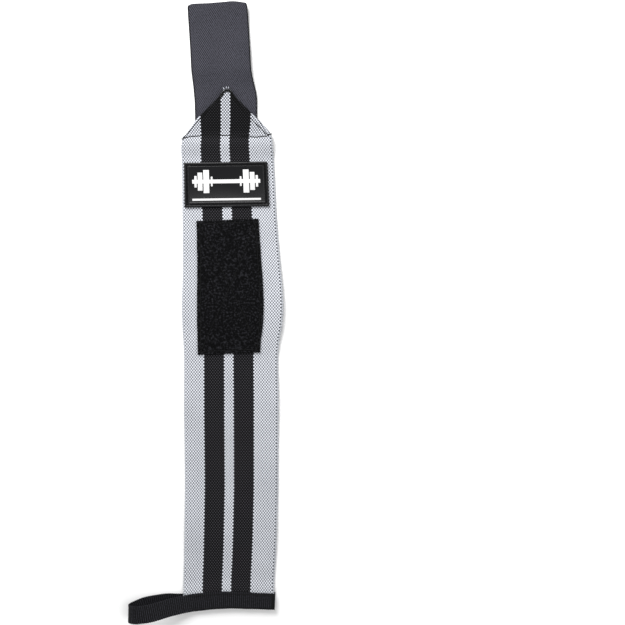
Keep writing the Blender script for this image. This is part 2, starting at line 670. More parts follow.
def twill_tape():
    """Heat-set polyester tape: a fine twill whose raised threads run in steep diagonal lines.

    It looks matt and slightly blue, with specks of 1.4 mm, worn places of 22 mm and dark bound edges.
    """
    colours = bpy.context.scene.wrap_colours
    pitch = bpy.context.scene.wrap_cloth.twill_pitch / MILLIMETRE
    material, tree, shader = new_material("Twill hook tape", 0.8, sheen=0.02, specular=0.15)
    place, u, v = cloth_place(tree)
    slant = node(tree, "ShaderNodeMath", (v, 0.6, u), operation="MULTIPLY_ADD")
    slant = wave(tree, slant, 2 * math.pi / pitch, "SINE")
    other = node(tree, "ShaderNodeMath", (v, -0.7, u), operation="MULTIPLY_ADD")
    other = wave(tree, other, 2 * math.pi / pitch, "SINE")
    height = node(tree, "ShaderNodeMath", (other, 0.5, slant), operation="MULTIPLY_ADD")
    speckle = node(tree, "ShaderNodeTexNoise", {"Vector": place, "Scale": 0.7, "Detail": 2.0})
    height = node(tree, "ShaderNodeMath", (height, 0.36, speckle), operation="MULTIPLY_ADD", use_clamp=True)
    colour = node(tree, "ShaderNodeMix", {
        0: height, 6: linear_colour(colours.tab_gap), 7: linear_colour(colours.tab_yarn),
    }, out=2, data_type="RGBA")
    edge = node(tree, "ShaderNodeMath", (u, TAB_WIDTH / 2), operation="SUBTRACT")
    edge = node(tree, "ShaderNodeMath", (edge,), operation="ABSOLUTE")
    edge = node(tree, "ShaderNodeMapRange", {
        "Value": edge, "From Min": TAB_WIDTH / 2 - 1.5, "From Max": TAB_WIDTH / 2 - 0.7,
        "To Min": 1.0, "To Max": 0.22})
    colour = node(tree, "ShaderNodeMix", {
        0: 1.0, 6: colour, 7: edge}, out=2, data_type="RGBA", blend_type="MULTIPLY")
    colour = varied_tone(tree, colour, place, 0.045, 3.0, 0.82, 1.18)
    dress(tree, shader, colour, height, 0.5, 0.00012)
    return material


def ribbed_ribbon():
    """Narrow woven elastic: matt black ribs across it, with the rubber's pull between them.

    Loose fibres of about 1 mm break the ribs up.
    """
    colours = bpy.context.scene.wrap_colours
    pitch = bpy.context.scene.wrap_cloth.rib_pitch / MILLIMETRE
    material, tree, shader = new_material("Ribbed elastic ribbon", 0.7, specular=0.12)
    place, u, v = cloth_place(tree)
    rib = wave(tree, v, 2 * math.pi / pitch, "COSINE")
    warp = wave(tree, u, 2 * math.pi / RIBBON_WARP_PITCH, "COSINE")
    height = node(tree, "ShaderNodeMath", (warp, 0.3, rib), operation="MULTIPLY_ADD")
    fuzz = node(tree, "ShaderNodeTexNoise", {"Vector": place, "Scale": 0.9, "Detail": 3.0})
    fuzz = node(tree, "ShaderNodeMath", (fuzz, 1.8, -0.72), operation="MULTIPLY_ADD")
    height = node(tree, "ShaderNodeMath", (height, 0.5, fuzz), operation="MULTIPLY_ADD", use_clamp=True)
    colour = node(tree, "ShaderNodeMix", {
        0: height, 6: linear_colour(colours.ribbon_gap), 7: linear_colour(colours.ribbon_yarn),
    }, out=2, data_type="RGBA")
    dress(tree, shader, colour, height, 0.6, 0.00015)
    return material


def brushed_pile():
    """Brushed nylon loops: deep matt black, with lighter tips in clumps of 1.5 mm."""
    colours = bpy.context.scene.wrap_colours
    material, tree, shader = new_material("Brushed loop pile", 0.95, sheen=0.04, specular=0.08)
    place = node(tree, "ShaderNodeTexCoord", out="Object")
    clumps = node(tree, "ShaderNodeTexNoise", {"Vector": place, "Scale": 650.0, "Detail": 3.0})
    clumps = node(tree, "ShaderNodeMapRange", {"Value": clumps, "From Min": 0.5, "From Max": 0.7})
    colour = node(tree, "ShaderNodeMix", {
        0: clumps, 6: linear_colour(colours.pile_dark), 7: linear_colour(colours.pile_light),
    }, out=2, data_type="RGBA")
    dress(tree, shader, colour, clumps, 0.5, 0.0004)
    return material


def moulded_rubber(name, colour, roughness):
    """Soft moulded vinyl: an even satin skin with the mould's faint grain of 0.4 mm."""
    material, tree, shader = new_material(name, roughness, specular=0.3)
    shader.inputs["Base Color"].default_value = linear_colour(colour)
    place = node(tree, "ShaderNodeTexCoord", out="Object")
    grain = node(tree, "ShaderNodeTexNoise", {"Vector": place, "Scale": 2500.0, "Detail": 2.0})
    relief = node(tree, "ShaderNodeBump", {"Strength": 0.25, "Distance": 0.00005, "Height": grain})
    tree.links.new(relief, shader.inputs["Normal"])
    return material


def spun_thread(name, colour):
    """Spun polyester thread, matt, with a little variation every 3 mm, from stitch to stitch."""
    material, tree, shader = new_material(name, 0.75, specular=0.2)
    place = node(tree, "ShaderNodeTexCoord", out="Object")
    varied = varied_tone(tree, linear_colour(colour), place, 300.0, 2.0, 0.8, 1.2)
    tree.links.new(varied, shader.inputs["Base Color"])
    return material


def growing_tree(name, sizes):
    """An empty geometry tree with its named sizes, and its geometry in and out."""
    tree = bpy.data.node_groups.new(name, "GeometryNodeTree")
    tree.interface.new_socket("Geometry", in_out="INPUT", socket_type="NodeSocketGeometry")
    for size, value in sizes.items():
        made = tree.interface.new_socket(size, in_out="INPUT", socket_type="NodeSocketFloat")
        made.default_value = value
    tree.interface.new_socket("Geometry", in_out="OUTPUT", socket_type="NodeSocketGeometry")
    return tree


def swept_thread(tree, start, middle, end, radius, sides, bends):
    """A short thread in a geometry tree: one bend, swept round."""
    line = node(tree, "GeometryNodeCurveQuadraticBezier", {
        "Resolution": bends, "Start": start, "Middle": middle, "End": end})
    ring = node(tree, "GeometryNodeCurvePrimitiveCircle", {"Resolution": sides, "Radius": radius})
    return node(tree, "GeometryNodeCurveToMesh", {
        "Curve": line, "Profile Curve": ring, "Fill Caps": True})


def end_tree(tree, instances, material):
    """Makes a tree's instances real and gives them their material."""
    real = node(tree, "GeometryNodeRealizeInstances", (instances,))
    dressed = node(tree, "GeometryNodeSetMaterial", {"Geometry": real, "Material": material})
    node(tree, "NodeGroupOutput", (dressed,))


def stitch_tree(material):
    """Stitches along a mesh's edges: short threads that arch out of the cloth and back in."""
    sizes = {"Stitch pitch": 0.003, "Stitch length": 0.0026, "Thread thickness": 0.00045}
    tree = growing_tree("Stitches along seams", sizes)
    lines = node(tree, "GeometryNodeMeshToCurve", (node(tree, "NodeGroupInput", out="Geometry"),))
    pitch = node(tree, "NodeGroupInput", out="Stitch pitch")
    places = node(tree, "GeometryNodeResampleCurve", {"Curve": lines, "Length": pitch}, mode="LENGTH")
    along = node(tree, "GeometryNodeInputTangent")
    turn = node(tree, "FunctionNodeAlignRotationToVector", {"Vector": along}, axis="X", pivot_axis="Z")
    length = node(tree, "NodeGroupInput", out="Stitch length")
    thick = node(tree, "NodeGroupInput", out="Thread thickness")
    half, back, low, high, radius = (
        node(tree, "ShaderNodeMath", (size, share), operation="MULTIPLY")
        for size, share in ((length, 0.5), (length, -0.5), (thick, -0.15), (thick, 0.75), (thick, 0.5)))
    start = node(tree, "ShaderNodeCombineXYZ", {"X": back, "Z": low})
    middle = node(tree, "ShaderNodeCombineXYZ", {"Z": high})
    end = node(tree, "ShaderNodeCombineXYZ", {"X": half, "Z": low})
    stitch = swept_thread(tree, start, middle, end, radius, 6, 5)
    made = node(tree, "GeometryNodeInstanceOnPoints", {
        "Points": places, "Instance": stitch, "Rotation": turn})
    end_tree(tree, made, material)
    return tree


def tack_tree(material):
    """Thread that follows a mesh's edges without a break, as in a bar tack or a loose end."""
    tree = growing_tree("Thread along lines", {"Thread thickness": TACK_THREAD * MILLIMETRE})
    lines = node(tree, "GeometryNodeMeshToCurve", (node(tree, "NodeGroupInput", out="Geometry"),))
    thick = node(tree, "NodeGroupInput", out="Thread thickness")
    radius = node(tree, "ShaderNodeMath", (thick, 0.5), operation="MULTIPLY")
    ring = node(tree, "GeometryNodeCurvePrimitiveCircle", {"Resolution": 6, "Radius": radius})
    thread = node(tree, "GeometryNodeCurveToMesh", {
        "Curve": lines, "Profile Curve": ring, "Fill Caps": True})
    end_tree(tree, thread, material)
    return tree


def pile_tree(material):
    """Pile loops scattered over a cloth, each a small arch turned and scaled at random."""
    sizes = {"Pile height": 0.0007, "Pile spacing": 0.00095, "Thread thickness": 0.00016}
    tree = growing_tree("Pile loops on a cloth", sizes)
    cloth = node(tree, "NodeGroupInput", out="Geometry")
    spacing = node(tree, "NodeGroupInput", out="Pile spacing")
    height = node(tree, "NodeGroupInput", out="Pile height")
    thick = node(tree, "NodeGroupInput", out="Thread thickness")
    seed = bpy.context.scene.wrap_cloth.pile_seed
    places = node(tree, "GeometryNodeDistributePointsOnFaces", {
        "Mesh": cloth, "Distance Min": spacing, "Density Max": 2.6e6, "Seed": seed,
    }, distribute_method="POISSON")
    reach = node(tree, "ShaderNodeMath", (height, 1.9), operation="MULTIPLY")
    spread = node(tree, "ShaderNodeMath", (height, 0.55), operation="MULTIPLY")
    back = node(tree, "ShaderNodeMath", (spread, -1.0), operation="MULTIPLY")
    start = node(tree, "ShaderNodeCombineXYZ", {"X": back})
    middle = node(tree, "ShaderNodeCombineXYZ", {"Z": reach, "Y": back})
    end = node(tree, "ShaderNodeCombineXYZ", {"X": spread})
    radius = node(tree, "ShaderNodeMath", (thick, 0.5), operation="MULTIPLY")
    loop = swept_thread(tree, start, middle, end, radius, 3, 4)
    turn = node(tree, "FunctionNodeRandomValue", {
        0: (-0.4, -0.4, 0.0), 1: (0.4, 0.4, 6.28), "Seed": seed + 1}, data_type="FLOAT_VECTOR")
    scale = node(tree, "FunctionNodeRandomValue", {
        2: 0.6, 3: 1.15, "Seed": seed + 2}, out=1, data_type="FLOAT")
    made = node(tree, "GeometryNodeInstanceOnPoints", {
        "Points": places, "Instance": loop, "Rotation": turn, "Scale": scale})
    end_tree(tree, made, material)
    return tree


def hook_tree(material):
    """Moulded hooks on a mesh's points, which bend over as they leave the tape."""
    sizes = {"Hook height": 0.0008, "Hook thickness": 0.00022}
    tree = growing_tree("Hooks beneath the tab", sizes)
    places = node(tree, "NodeGroupInput", out="Geometry")
    height = node(tree, "NodeGroupInput", out="Hook height")
    thick = node(tree, "NodeGroupInput", out="Hook thickness")
    down = node(tree, "ShaderNodeMath", (height, -1.75), operation="MULTIPLY")
    tip = node(tree, "ShaderNodeMath", (height, -0.45), operation="MULTIPLY")
    out = node(tree, "ShaderNodeMath", (height, 0.75), operation="MULTIPLY")
    middle = node(tree, "ShaderNodeCombineXYZ", {"Z": down})
    end = node(tree, "ShaderNodeCombineXYZ", {"X": out, "Z": tip})
    radius = node(tree, "ShaderNodeMath", (thick, 0.5), operation="MULTIPLY")
    hook = swept_thread(tree, (0, 0, 0), middle, end, radius, 3, 5)
    turn = node(tree, "FunctionNodeRandomValue", {
        0: (0, 0, -0.6), 1: (0, 0, 0.6), "Seed": 7}, data_type="FLOAT_VECTOR")
    made = node(tree, "GeometryNodeInstanceOnPoints", {
        "Points": places, "Instance": hook, "Rotation": turn})
    end_tree(tree, made, material)
    return tree


def grown_object(name, lines, tree, values, faces=()):
    """What a geometry tree grows on lines of places in millimetres, as an object with a plain mesh."""
    base = bpy.data.meshes.new(name)
    places = np.concatenate([np.asarray(line, float) for line in lines])
    starts = np.cumsum([0] + [len(line) for line in lines])
    edges = []
    if not len(faces):
        edges = [(k, k + 1) for a, b in zip(starts, starts[1:]) for k in range(a, b - 1)]
    base.from_pydata(((places + ORIGIN) * MILLIMETRE).tolist(), edges, faces)
    carrier = bpy.data.objects.new(name + "_base", base)
    bpy.context.scene.collection.objects.link(carrier)
    grower = carrier.modifiers.new("Grow", "NODES")
    grower.node_group = tree
    for item in tree.interface.items_tree:
        if item.in_out == "INPUT" and item.name in values:
            grower[item.identifier] = values[item.name]
    graph = bpy.context.evaluated_depsgraph_get()
    mesh = bpy.data.meshes.new_from_object(carrier.evaluated_get(graph), depsgraph=graph)
    bpy.data.objects.remove(carrier)
    if not len(mesh.polygons):
        raise RuntimeError(f"{name}: nothing grew")
    mesh.name = name
    mesh.shade_smooth()
    shown = bpy.data.objects.new(name, mesh)
    bpy.context.scene.collection.objects.link(shown)
    return shown


class WRAP_OT_stage(Operator):
    """Set up the plain floor, the soft light and the camera above the wrap"""

    bl_idname = "wrap.stage"
    bl_label = "Stage"

    def execute(self, context):
        scene = context.scene
        stage = scene.wrap_stage
        centre = (np.array(PICTURE_MIDDLE) + ORIGIN) * MILLIMETRE
        floor = bpy.data.meshes.new("floor")
        corners = [
            (x * FLOOR_REACH, y * FLOOR_REACH, -FLOOR_DROP) for x, y in ((-1, -1), (1, -1), (1, 1), (-1, 1))]
        floor.from_pydata(corners, [], [(0, 1, 2, 3)])
        material, _, shader = new_material("Matt white paper", 0.9, specular=0.2)
        shader.inputs["Base Color"].default_value = linear_colour("#FCFCFC")
        floor.materials.append(material)
        ground = bpy.data.objects.new("floor", floor)
        scene.collection.objects.link(ground)

        world = bpy.data.worlds.new("Even studio light")
        world.use_nodes = True
        sky = world.node_tree.nodes["Background"]
        sky.inputs["Color"].default_value = linear_colour("#FFFFFF")
        sky.inputs["Strength"].default_value = stage.sky_strength
        scene.world = world

        for name, power, (wide, place) in (
            ("Key", stage.key_power, KEY_LIGHT), ("Fill", stage.fill_power, FILL_LIGHT),
        ):
            light = bpy.data.lights.new(name, "AREA")
            light.size = wide
            light.energy = power
            lamp = bpy.data.objects.new(name, light)
            lamp.location = Vector(centre) + Vector(place)
            lamp.rotation_euler = (-Vector(place)).to_track_quat("-Z", "Y").to_euler()
            scene.collection.objects.link(lamp)

        camera = bpy.data.cameras.new("Camera")
        camera.sensor_width = SENSOR_WIDTH
        camera.lens = SENSOR_WIDTH * stage.camera_height / stage.picture_width
        eye = bpy.data.objects.new("Camera", camera)
        eye.location = (centre[0], centre[1], stage.camera_height)
        scene.collection.objects.link(eye)
        scene.camera = eye
        scene.view_settings.view_transform = "Standard"
        return {"FINISHED"}


def fold_section(up, cells, fold_cells, flap_cells):
    """One section of the point: the flaps beneath, the two folds and the layer on top.

    Gives the cloth's middle in the section, the way to its outer side, and its place on the flat cloth.
    """
    half = from_rows(POINT_ROWS, 1, up) * BAND_WIDTH / 2
    radius = (BAND_THICKNESS + LAYER_GAP) / 2
    centre = half - radius - BAND_THICKNESS / 2
    low = FLAP_LEVEL + BAND_THICKNESS / 2
    high = POINT_LEVEL + BAND_THICKNESS / 2
    y = BODY_LENGTH + up * POINT_HEIGHT
    lean = POINT_LEAN * smooth_step(up, *LEAN_RISE) * (1 - smooth_step(up, *LEAN_FALL))
    stretch, shift = from_rows(POINT_ROWS, 2, up), from_rows(POINT_ROWS, 3, up)
    slope = math.atan2(POINT_HEIGHT, (POINT_ROWS[0][1] - POINT_ROWS[-1][1]) * BAND_WIDTH / 2)

    def side_at(x):
        return (x + lean + POINT_SHIFT - shift) / stretch

    inward = np.linspace(LAYER_GAP / 2, centre, flap_cells + 1)
    angle = np.linspace(-math.pi / 2, math.pi / 2, fold_cells + 1)[1:]
    beyond = radius * (math.pi / 2 - angle)
    turned = (centre - inward)[:, None] * (math.cos(2 * slope), math.sin(2 * slope))
    outward = np.array((-math.sin(slope), math.cos(slope)))
    flap_flat = outward * math.pi * radius + turned
    fold_flat = outward * beyond[:, None]
    low_part = np.stack((-inward, np.full_like(inward, low), 0 * inward, -1 + 0 * inward), axis=-1)
    fold_part = np.stack((
        -centre - radius * np.cos(angle), (low + high) / 2 + radius * np.sin(angle),
        -np.cos(angle), np.sin(angle)), axis=-1)
    left = np.concatenate((low_part, fold_part))
    left_flat = np.concatenate((flap_flat, fold_flat)) + (side_at(-centre), y)
    across = edge_steps(2 * centre, cells) - centre
    top = np.stack((across, np.full_like(across, high), 0 * across, 1 + 0 * across), axis=-1)[1:]
    top_flat = np.stack((side_at(across), np.full_like(across, y)), axis=-1)[1:]
    right = left[::-1][1:] * (-1, 1, -1, 1)
    right_flat = np.concatenate((flap_flat, fold_flat))[::-1][1:] * (-1, 1) + (side_at(centre), y)
    section = np.concatenate((left, top, right)) + (lean, 0, 0, 0)
    flat = np.concatenate((left_flat, top_flat, right_flat)) + (BAND_WIDTH / 2, 0)
    flat[:, 0] = np.clip(flat[:, 0], 0.05, BAND_WIDTH - 0.05)
    return section, flat, y


class WRAP_OT_band(Operator):
    """Build the striped elastic band with its folded point"""

    bl_idname = "wrap.band"
    bl_label = "Elastic band"

    def execute(self, context):
        cells, fold_cells, flap_cells = 30, 10, 16
        dive = context.scene.wrap_cloth.float_pitch / MILLIMETRE
        alongs = np.concatenate((
            np.arange(END_INSET, FINE_ROWS[0] - FINE_ROWS[2], dive / 3), np.arange(*FINE_ROWS)))
        shares = np.linspace(0, 1, 81)
        sections = [fold_section(up, cells, fold_cells, flap_cells) for up in shares]
        first = flap_cells + fold_cells
        columns = len(sections[0][0])
        sides = edge_steps(BAND_WIDTH, cells) - BAND_WIDTH / 2
        last = first + len(sides) - 1
        outer = np.zeros((len(alongs) + len(shares), columns, 3))
        inner = outer.copy()
        flat = np.zeros((len(alongs) + len(shares), columns, 2))

        # The body: round edges, slightly scalloped where each float of the outermost thread bulges.
        side, along = np.meshgrid(sides, alongs)
        edge = BAND_WIDTH / 2 - np.abs(side)
        scallop = EDGE_SCALLOP * np.cos(2 * math.pi * along / dive) * np.clip(1 - edge / SCALLOP_REACH, 0, 1)
        half = BAND_THICKNESS / 2 * edge_roundness(edge, BAND_EDGE_RADIUS)
        body = slice(0, len(alongs)), slice(first, last + 1)
        moved = side + np.sign(side) * scallop
        outer[body] = on_band(moved, along, BAND_THICKNESS / 2 + half)
        inner[body] = on_band(moved, along, BAND_THICKNESS / 2 - half)
        flat[body] = np.stack((side + BAND_WIDTH / 2, along), axis=-1)

        for row, (section, places, y) in enumerate(sections, len(alongs)):
            middle = np.stack((section[:, 0] + POINT_SHIFT, np.full(columns, y), section[:, 1]), axis=-1)
            way = np.stack((section[:, 2], np.zeros(columns), section[:, 3]), axis=-1)
            outer[row] = middle + way * BAND_THICKNESS / 2
            inner[row] = middle - way * BAND_THICKNESS / 2
            flat[row] = places

        # The seams draw the top layer down.
        on_top = np.s_[len(alongs) - 12:, first:last + 1]
        for seam, depth, _ in POINT_SEAMS:
            away = seam_distance(outer[on_top], seam)
            outer[on_top][..., 2] -= depth * np.exp(-((away / POINT_GROOVE_WIDTH) ** 2))
        there = np.ones((outer.shape[0] - 1, columns - 1), bool)
        there[:len(alongs), :first] = False
        there[:len(alongs), last:] = False
        band = cloth_object("elastic_band_webbing", outer, inner, flat, woven_elastic(), there)
        finish_piece(band, "striped_elastic_webbing", "elastic_band")
        return {"FINISHED"}


def tab_place(across, along, height):
    """Places on the tab: across from -0.5 to 0.5 of its width, along from its hidden end."""
    across, along = np.broadcast_arrays(np.asarray(across, float), np.asarray(along, float))
    up = along / TAB_LENGTH
    into = np.clip(along - (TAB_LENGTH - TAB_CORNER), 0, TAB_CORNER)
    inset = TAB_CORNER - np.sqrt(TAB_CORNER ** 2 - into ** 2)
    left = from_rows(TAB_ROWS, 1, up) * TAB_WIDTH + inset
    right = from_rows(TAB_ROWS, 2, up) * TAB_WIDTH - 0.45 * inset
    lift_left, lift_right = from_rows(TAB_ROWS, 3, up), from_rows(TAB_ROWS, 4, up)
    x = POINT_SHIFT + left + (right - left) * (across + 0.5)
    y = BODY_LENGTH - TAB_TUCK + along + from_rows(TAB_EDGE_ROWS, 1, across) * TAB_CORNER * up ** 4
    z = (lift_left + (lift_right - lift_left) * (across + 0.5)) * TAB_WAVE
    return np.stack((x, y, z + height), axis=-1)


class WRAP_OT_tab(Operator):
    """Build the closure tab: a twill tape with a field of hooks beneath it"""

    bl_idname = "wrap.tab"
    bl_label = "Closure tab"

    def execute(self, context):
        across = edge_steps(TAB_WIDTH, 20) / TAB_WIDTH - 0.5
        curve = TAB_LENGTH - TAB_CORNER + TAB_CORNER * np.sin(np.linspace(0, math.pi / 2, 9))
        along = np.concatenate((np.linspace(0, TAB_LENGTH - TAB_CORNER, 96)[:-1], curve))
        wide, far = np.meshgrid(across, along)
        edge = np.minimum((0.5 - np.abs(wide)) * TAB_WIDTH, np.minimum(far, TAB_LENGTH - far))
        middle = (TAB_THICKNESS + HOOK_HEIGHT) / 2
        half = (TAB_THICKNESS - HOOK_HEIGHT) / 2 * edge_roundness(edge, TAB_EDGE_RADIUS)
        flat = np.stack(((wide + 0.5) * TAB_WIDTH, far), axis=-1)
        tape = twill_tape()
        tab = cloth_object(
            "closure_tab_tape", tab_place(wide, far, middle + half), tab_place(wide, far, middle - half),
            flat, tape)
        finish_piece(tab, "charcoal_hook_tape", "closure_tab")

        pitch = context.scene.wrap_cloth.hook_pitch / MILLIMETRE
        hidden, free, left, right = HOOK_MARGINS
        rows = np.arange(hidden, TAB_LENGTH - free, pitch)
        sides = np.arange(-TAB_WIDTH / 2 + left, TAB_WIDTH / 2 - right, pitch)
        stagger = (np.arange(len(rows)) % 2) * pitch / 2
        side = (sides[None, :] + stagger[:, None]) / TAB_WIDTH
        places = tab_place(side, rows[:, None], HOOK_HEIGHT + 0.05).reshape(-1, 3)
        tree = hook_tree(tape)
        hooks = grown_object("closure_tab_hooks", [[place] for place in places], tree, {})
        finish_piece(hooks, "charcoal_hook_tape")
        return {"FINISHED"}


def panel_seams():
    """The panel's stitched lines on its own face: a box and both diagonals."""
    x, y = PANEL_WIDTH / 2 - PANEL_SEAM_INSET, PANEL_LENGTH / 2 - PANEL_SEAM_INSET
    box = ((-x, -y), (x, -y), (x, y), (-x, y), (-x, -y))
    return box, ((-x, -y), (x, y)), ((x, -y), (-x, y))


class WRAP_OT_panel(Operator):
    """Build the soft loop panel: its cloth and its pile"""

    bl_idname = "wrap.panel"
    bl_label = "Loop panel"

    def execute(self, context):
        sizes = context.scene.wrap_cloth
        near = (0, 0.15, 0.4, 0.8, 1.3)
        sides = edge_steps(PANEL_WIDTH, 48, near) - PANEL_WIDTH / 2
        alongs = edge_steps(PANEL_LENGTH, 104, near) - PANEL_LENGTH / 2
        side, along = np.meshgrid(sides, alongs)
        edge = np.minimum(PANEL_WIDTH / 2 - np.abs(side), PANEL_LENGTH / 2 - np.abs(along))
        thickness = PANEL_THICKNESS - sizes.pile_height / MILLIMETRE
        top = thickness * edge_roundness(edge, PANEL_EDGE_RADIUS)
        top += PANEL_UNEVENNESS * soft_noise(side / PANEL_UNEVENNESS_PITCH, along / PANEL_UNEVENNESS_PITCH, 3)
        flat_place = np.stack((side, along), axis=-1)
        for seam in panel_seams():
            away = seam_distance(flat_place, seam)
            top -= PANEL_GROOVE_DEPTH * np.exp(-((away / PANEL_GROOVE_WIDTH) ** 2))
        fray = FRAY_DEPTH * np.sin(along * 2 * math.pi / FRAY_PITCH)
        frayed = np.sign(side) * fray * np.clip(1 - edge, 0, 1)
        outer = on_sewn_piece(side + frayed, along, PANEL_PLACE, np.maximum(top, 0.25))
        inner = on_sewn_piece(side + frayed, along, PANEL_PLACE, np.zeros_like(top))
        pile = brushed_pile()
        panel = cloth_object("loop_panel_cloth", outer, inner, flat_place, pile)
        finish_piece(panel, "black_loop_pile", "loop_panel")
        rows, columns = side.shape
        number = np.arange(rows * columns).reshape(rows, columns)
        cells = np.stack((number[:-1, :-1], number[:-1, 1:], number[1:, 1:], number[1:, :-1]), axis=-1)
        loops = grown_object("loop_panel_pile", [outer.reshape(-1, 3)], pile_tree(pile), {
            "Pile height": sizes.pile_height, "Pile spacing": sizes.pile_spacing,
        }, cells.reshape(-1, 4).tolist())
        finish_piece(loops, "black_loop_pile")
        return {"FINISHED"}


def label_ring(inset):
    """The label's outline, moved in by an inset, with round corners."""
    x, y = LABEL_WIDTH / 2 - inset, LABEL_HEIGHT / 2 - inset
    radius = max(LABEL_CORNER - inset, 0.2)
    corner = np.linspace(0, math.pi / 2, 6)
    ring = []
    for turn, (mid_x, mid_y) in enumerate(((1, 1), (-1, 1), (-1, -1), (1, -1))):
        angle = corner + turn * math.pi / 2
        ring.append(np.stack((
            mid_x * (x - radius) + radius * np.cos(angle),
            mid_y * (y - radius) + radius * np.sin(angle)), axis=-1))
    return np.concatenate(ring)


def raised_form(name, outline, lift, material):
    """A flat shape raised on the label's field, with its upper edges rounded."""
    form = bmesh.new()
    bottom = [form.verts.new((x, y, LABEL_THICKNESS + EMBLEM_FOOT)) for x, y in outline]
    face = form.faces.new(bottom)
    if face.normal.z < 0:
        face.normal_flip()
    raised = bmesh.ops.extrude_face_region(form, geom=[face])
    top = [item for item in raised["geom"] if isinstance(item, bmesh.types.BMVert)]
    bmesh.ops.translate(form, vec=(0, 0, EMBLEM_RISE), verts=top)
    form.normal_update()
    bmesh.ops.recalc_face_normals(form, faces=form.faces)
    rim = [item for item in form.edges if all(v in top for v in item.verts)]
    bmesh.ops.bevel(form, geom=rim, offset=EMBLEM_BEVEL, segments=2, affect="EDGES", profile=0.5)
    bmesh.ops.triangulate(form, faces=form.faces)
    places = np.array([tuple(v.co) for v in form.verts])
    faces = np.array([[v.index for v in f.verts] for f in form.faces])
    form.free()
    return mesh_object(name, on_sewn_piece(
        places[:, 0], places[:, 1] + lift, LABEL_PLACE, places[:, 2]), [faces], material, sharp=40)


class WRAP_OT_label(Operator):
    """Build the moulded label with its frame, barbell and line"""

    bl_idname = "wrap.label"
    bl_label = "Label"

    def execute(self, context):
        colours = context.scene.wrap_colours
        black = moulded_rubber("Moulded rubber black", colours.label_black, 0.33)
        white = moulded_rubber("Moulded rubber white", colours.label_white, 0.5)
        rings = [label_ring(inset) for inset, _ in LABEL_RELIEF_ROWS]
        count = len(rings[0])
        places = np.concatenate([
            on_sewn_piece(ring[:, 0], ring[:, 1], LABEL_PLACE, LABEL_THICKNESS + height)
            for ring, (_, height) in zip(rings, LABEL_RELIEF_ROWS)])
        k = np.arange(count)
        after = (k + 1) % count
        faces = [np.stack((
            r * count + k, r * count + after, (r + 1) * count + after, (r + 1) * count + k), axis=-1)
            for r in range(len(rings) - 1)]
        faces.append(k[None, ::-1])
        faces.append((k + (len(rings) - 1) * count)[None, :])
        label = mesh_object("label_patch_moulding", places, faces, black, sharp=60)
        finish_piece(label, "black_moulded_rubber", "label_patch")

        corner = [(inner * EMBLEM_WIDTH, (inner + wide) * EMBLEM_WIDTH, high * EMBLEM_HEIGHT / 2)
                  for inner, wide, high in PLATE_ROWS]
        bar = BAR_THICKNESS / 2
        quarter = [p for a, b, top in corner for p in ((a, bar), (a, top), (b, top), (b, bar))]
        quarter.append((EMBLEM_WIDTH / 2, bar))
        upper = [(-x, y) for x, y in quarter[::-1]] + quarter
        barbell = upper + [(x, -y) for x, y in upper[::-1]]
        emblem = raised_form("label_emblem_barbell", barbell, EMBLEM_LIFT, white)
        finish_piece(emblem, "white_moulded_rubber", "label_emblem")
        x, y = EMBLEM_WIDTH / 2, RULE_THICKNESS / 2
        rule = raised_form("label_rule_line", [(-x, -y), (x, -y), (x, y), (-x, y)], -RULE_DROP, white)
        finish_piece(rule, "white_moulded_rubber", "label_rule")
        return {"FINISHED"}


def smooth_route(points, count):
    """Evenly spaced places on a smooth curve through points."""
    points = np.asarray(points, float)
    whole = np.concatenate(([2 * points[0] - points[1]], points, [2 * points[-1] - points[-2]]))
    fine = []
    for k in range(len(points) - 1):
        p0, p1, p2, p3 = whole[k:k + 4]
        t1 = np.linalg.norm(p1 - p0) ** 0.5
        t2 = t1 + np.linalg.norm(p2 - p1) ** 0.5
        t3 = t2 + np.linalg.norm(p3 - p2) ** 0.5
        t = np.linspace(t1, t2, 41)[:-1, None]
        a1 = (t1 - t) / t1 * p0 + t / t1 * p1
        a2 = (t2 - t) / (t2 - t1) * p1 + (t - t1) / (t2 - t1) * p2
        a3 = (t3 - t) / (t3 - t2) * p2 + (t - t2) / (t3 - t2) * p3
        b1 = (t2 - t) / t2 * a1 + t / t2 * a2
        b2 = (t3 - t) / (t3 - t1) * a2 + (t - t1) / (t3 - t1) * a3
        fine.append((t2 - t) / (t2 - t1) * b1 + (t - t1) / (t2 - t1) * b2)
    fine = np.concatenate(fine + [points[-1:]])
    run = np.concatenate(([0], np.cumsum(np.linalg.norm(np.diff(fine, axis=0), axis=1))))
    at = np.linspace(0, run[-1], count)
    return np.stack([np.interp(at, run, fine[:, k]) for k in range(3)], axis=-1), at


def ribbon_route(count):
    """The ribbon's middle: across the band's face, out round the thumb loop and back beneath."""
    half = RIBBON_THICKNESS / 2
    acrosses = np.array((0.51, 0.35, 0.2, 0.05, -0.1, -0.25, -0.4))
    front = on_band(acrosses * BAND_WIDTH, RIBBON_WIDTH / 2, 0)
    back = front[::-1].copy()
    front[:, 2] = FRONT_RUN_LEVEL + half
    back[:, 2] = half
    edge = on_band(-BAND_WIDTH / 2, RIBBON_WIDTH / 2, 0)[0]
    loop = [(edge - out * LOOP_LENGTH, sideways * RIBBON_WIDTH, half + rise * (LOOP_HEIGHT - half))
            for out, sideways, rise in LOOP_ROWS]
    return smooth_route(np.concatenate((front, loop, back)), count)


